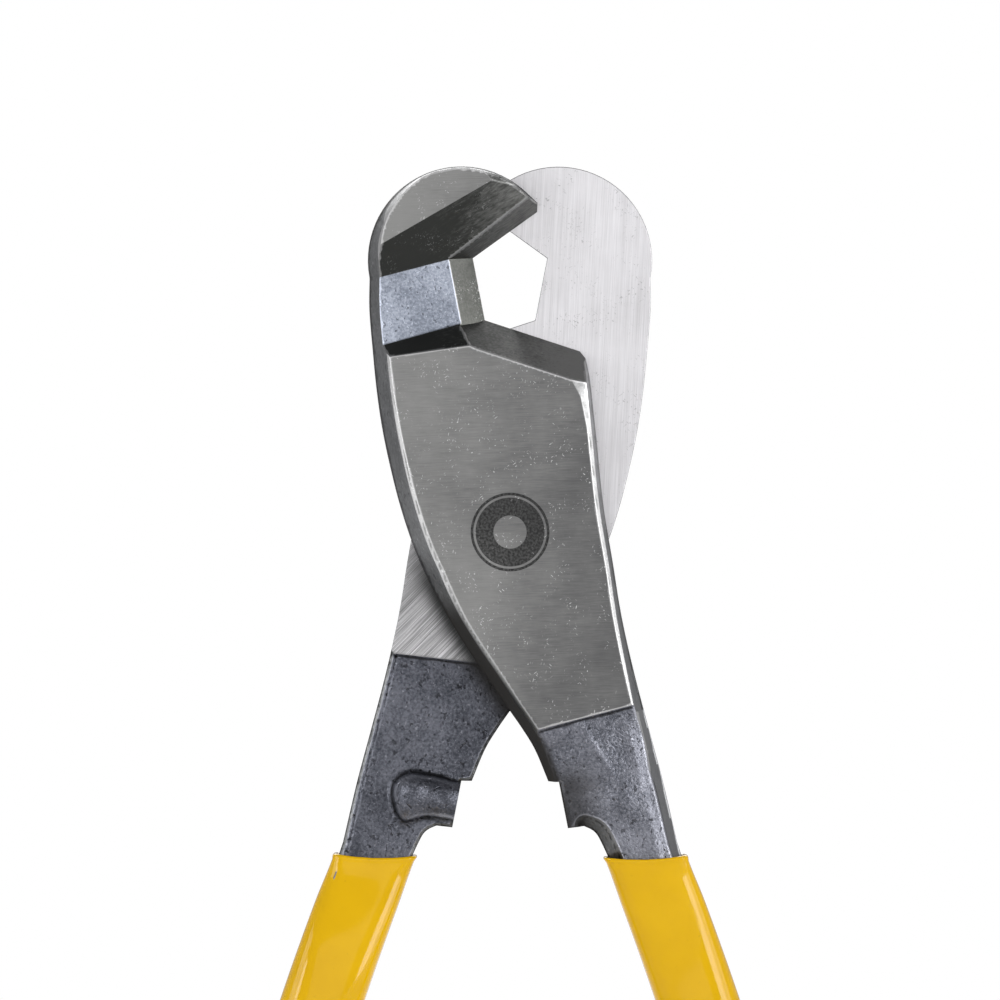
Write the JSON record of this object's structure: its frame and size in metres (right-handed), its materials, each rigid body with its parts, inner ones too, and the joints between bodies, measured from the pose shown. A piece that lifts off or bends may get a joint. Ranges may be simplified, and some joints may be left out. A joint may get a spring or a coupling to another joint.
{
  "type": "cable cutter",
  "caption": "Hand cable cutter: hooked shearing jaws on a shared pivot with stop bosses and bowed, sleeved handles.",
  "frame": {"origin": "the pivot axis where it meets the ground front face", "axes": "+Z towards the jaws along the tool, -Y out of the ground front face along the pivot axis, +X to the right seen from the front"},
  "size_m": [0.1164, 0.025, 0.2318],
  "materials": {
    "ground_forging": "ground faces on a dark forged body",
    "black_oxide_steel": "black oxide",
    "hardened_steel": "ground",
    "spring_steel": "tempered",
    "plated_steel": "zinc plated",
    "nylon": "satin",
    "yellow_vinyl": "glossy"
  },
  "bodies": {
    "front": {"front_half": "ground_forging", "front_grip": "yellow_vinyl", "pivot_stud": "black_oxide_steel", "thrust_washer": "hardened_steel", "disc_spring": "spring_steel", "lock_nut": "plated_steel", "nut_insert": "nylon"},
    "back": {"back_half": "ground_forging", "back_grip": "yellow_vinyl"}
  },
  "joints": [
    {"name": "pivot", "type": "hinge", "parent": "front", "child": "back", "pos_m": [0, 0, 0], "axis": [0, 1, 0], "range_deg": [-22, 40]}
  ]
}
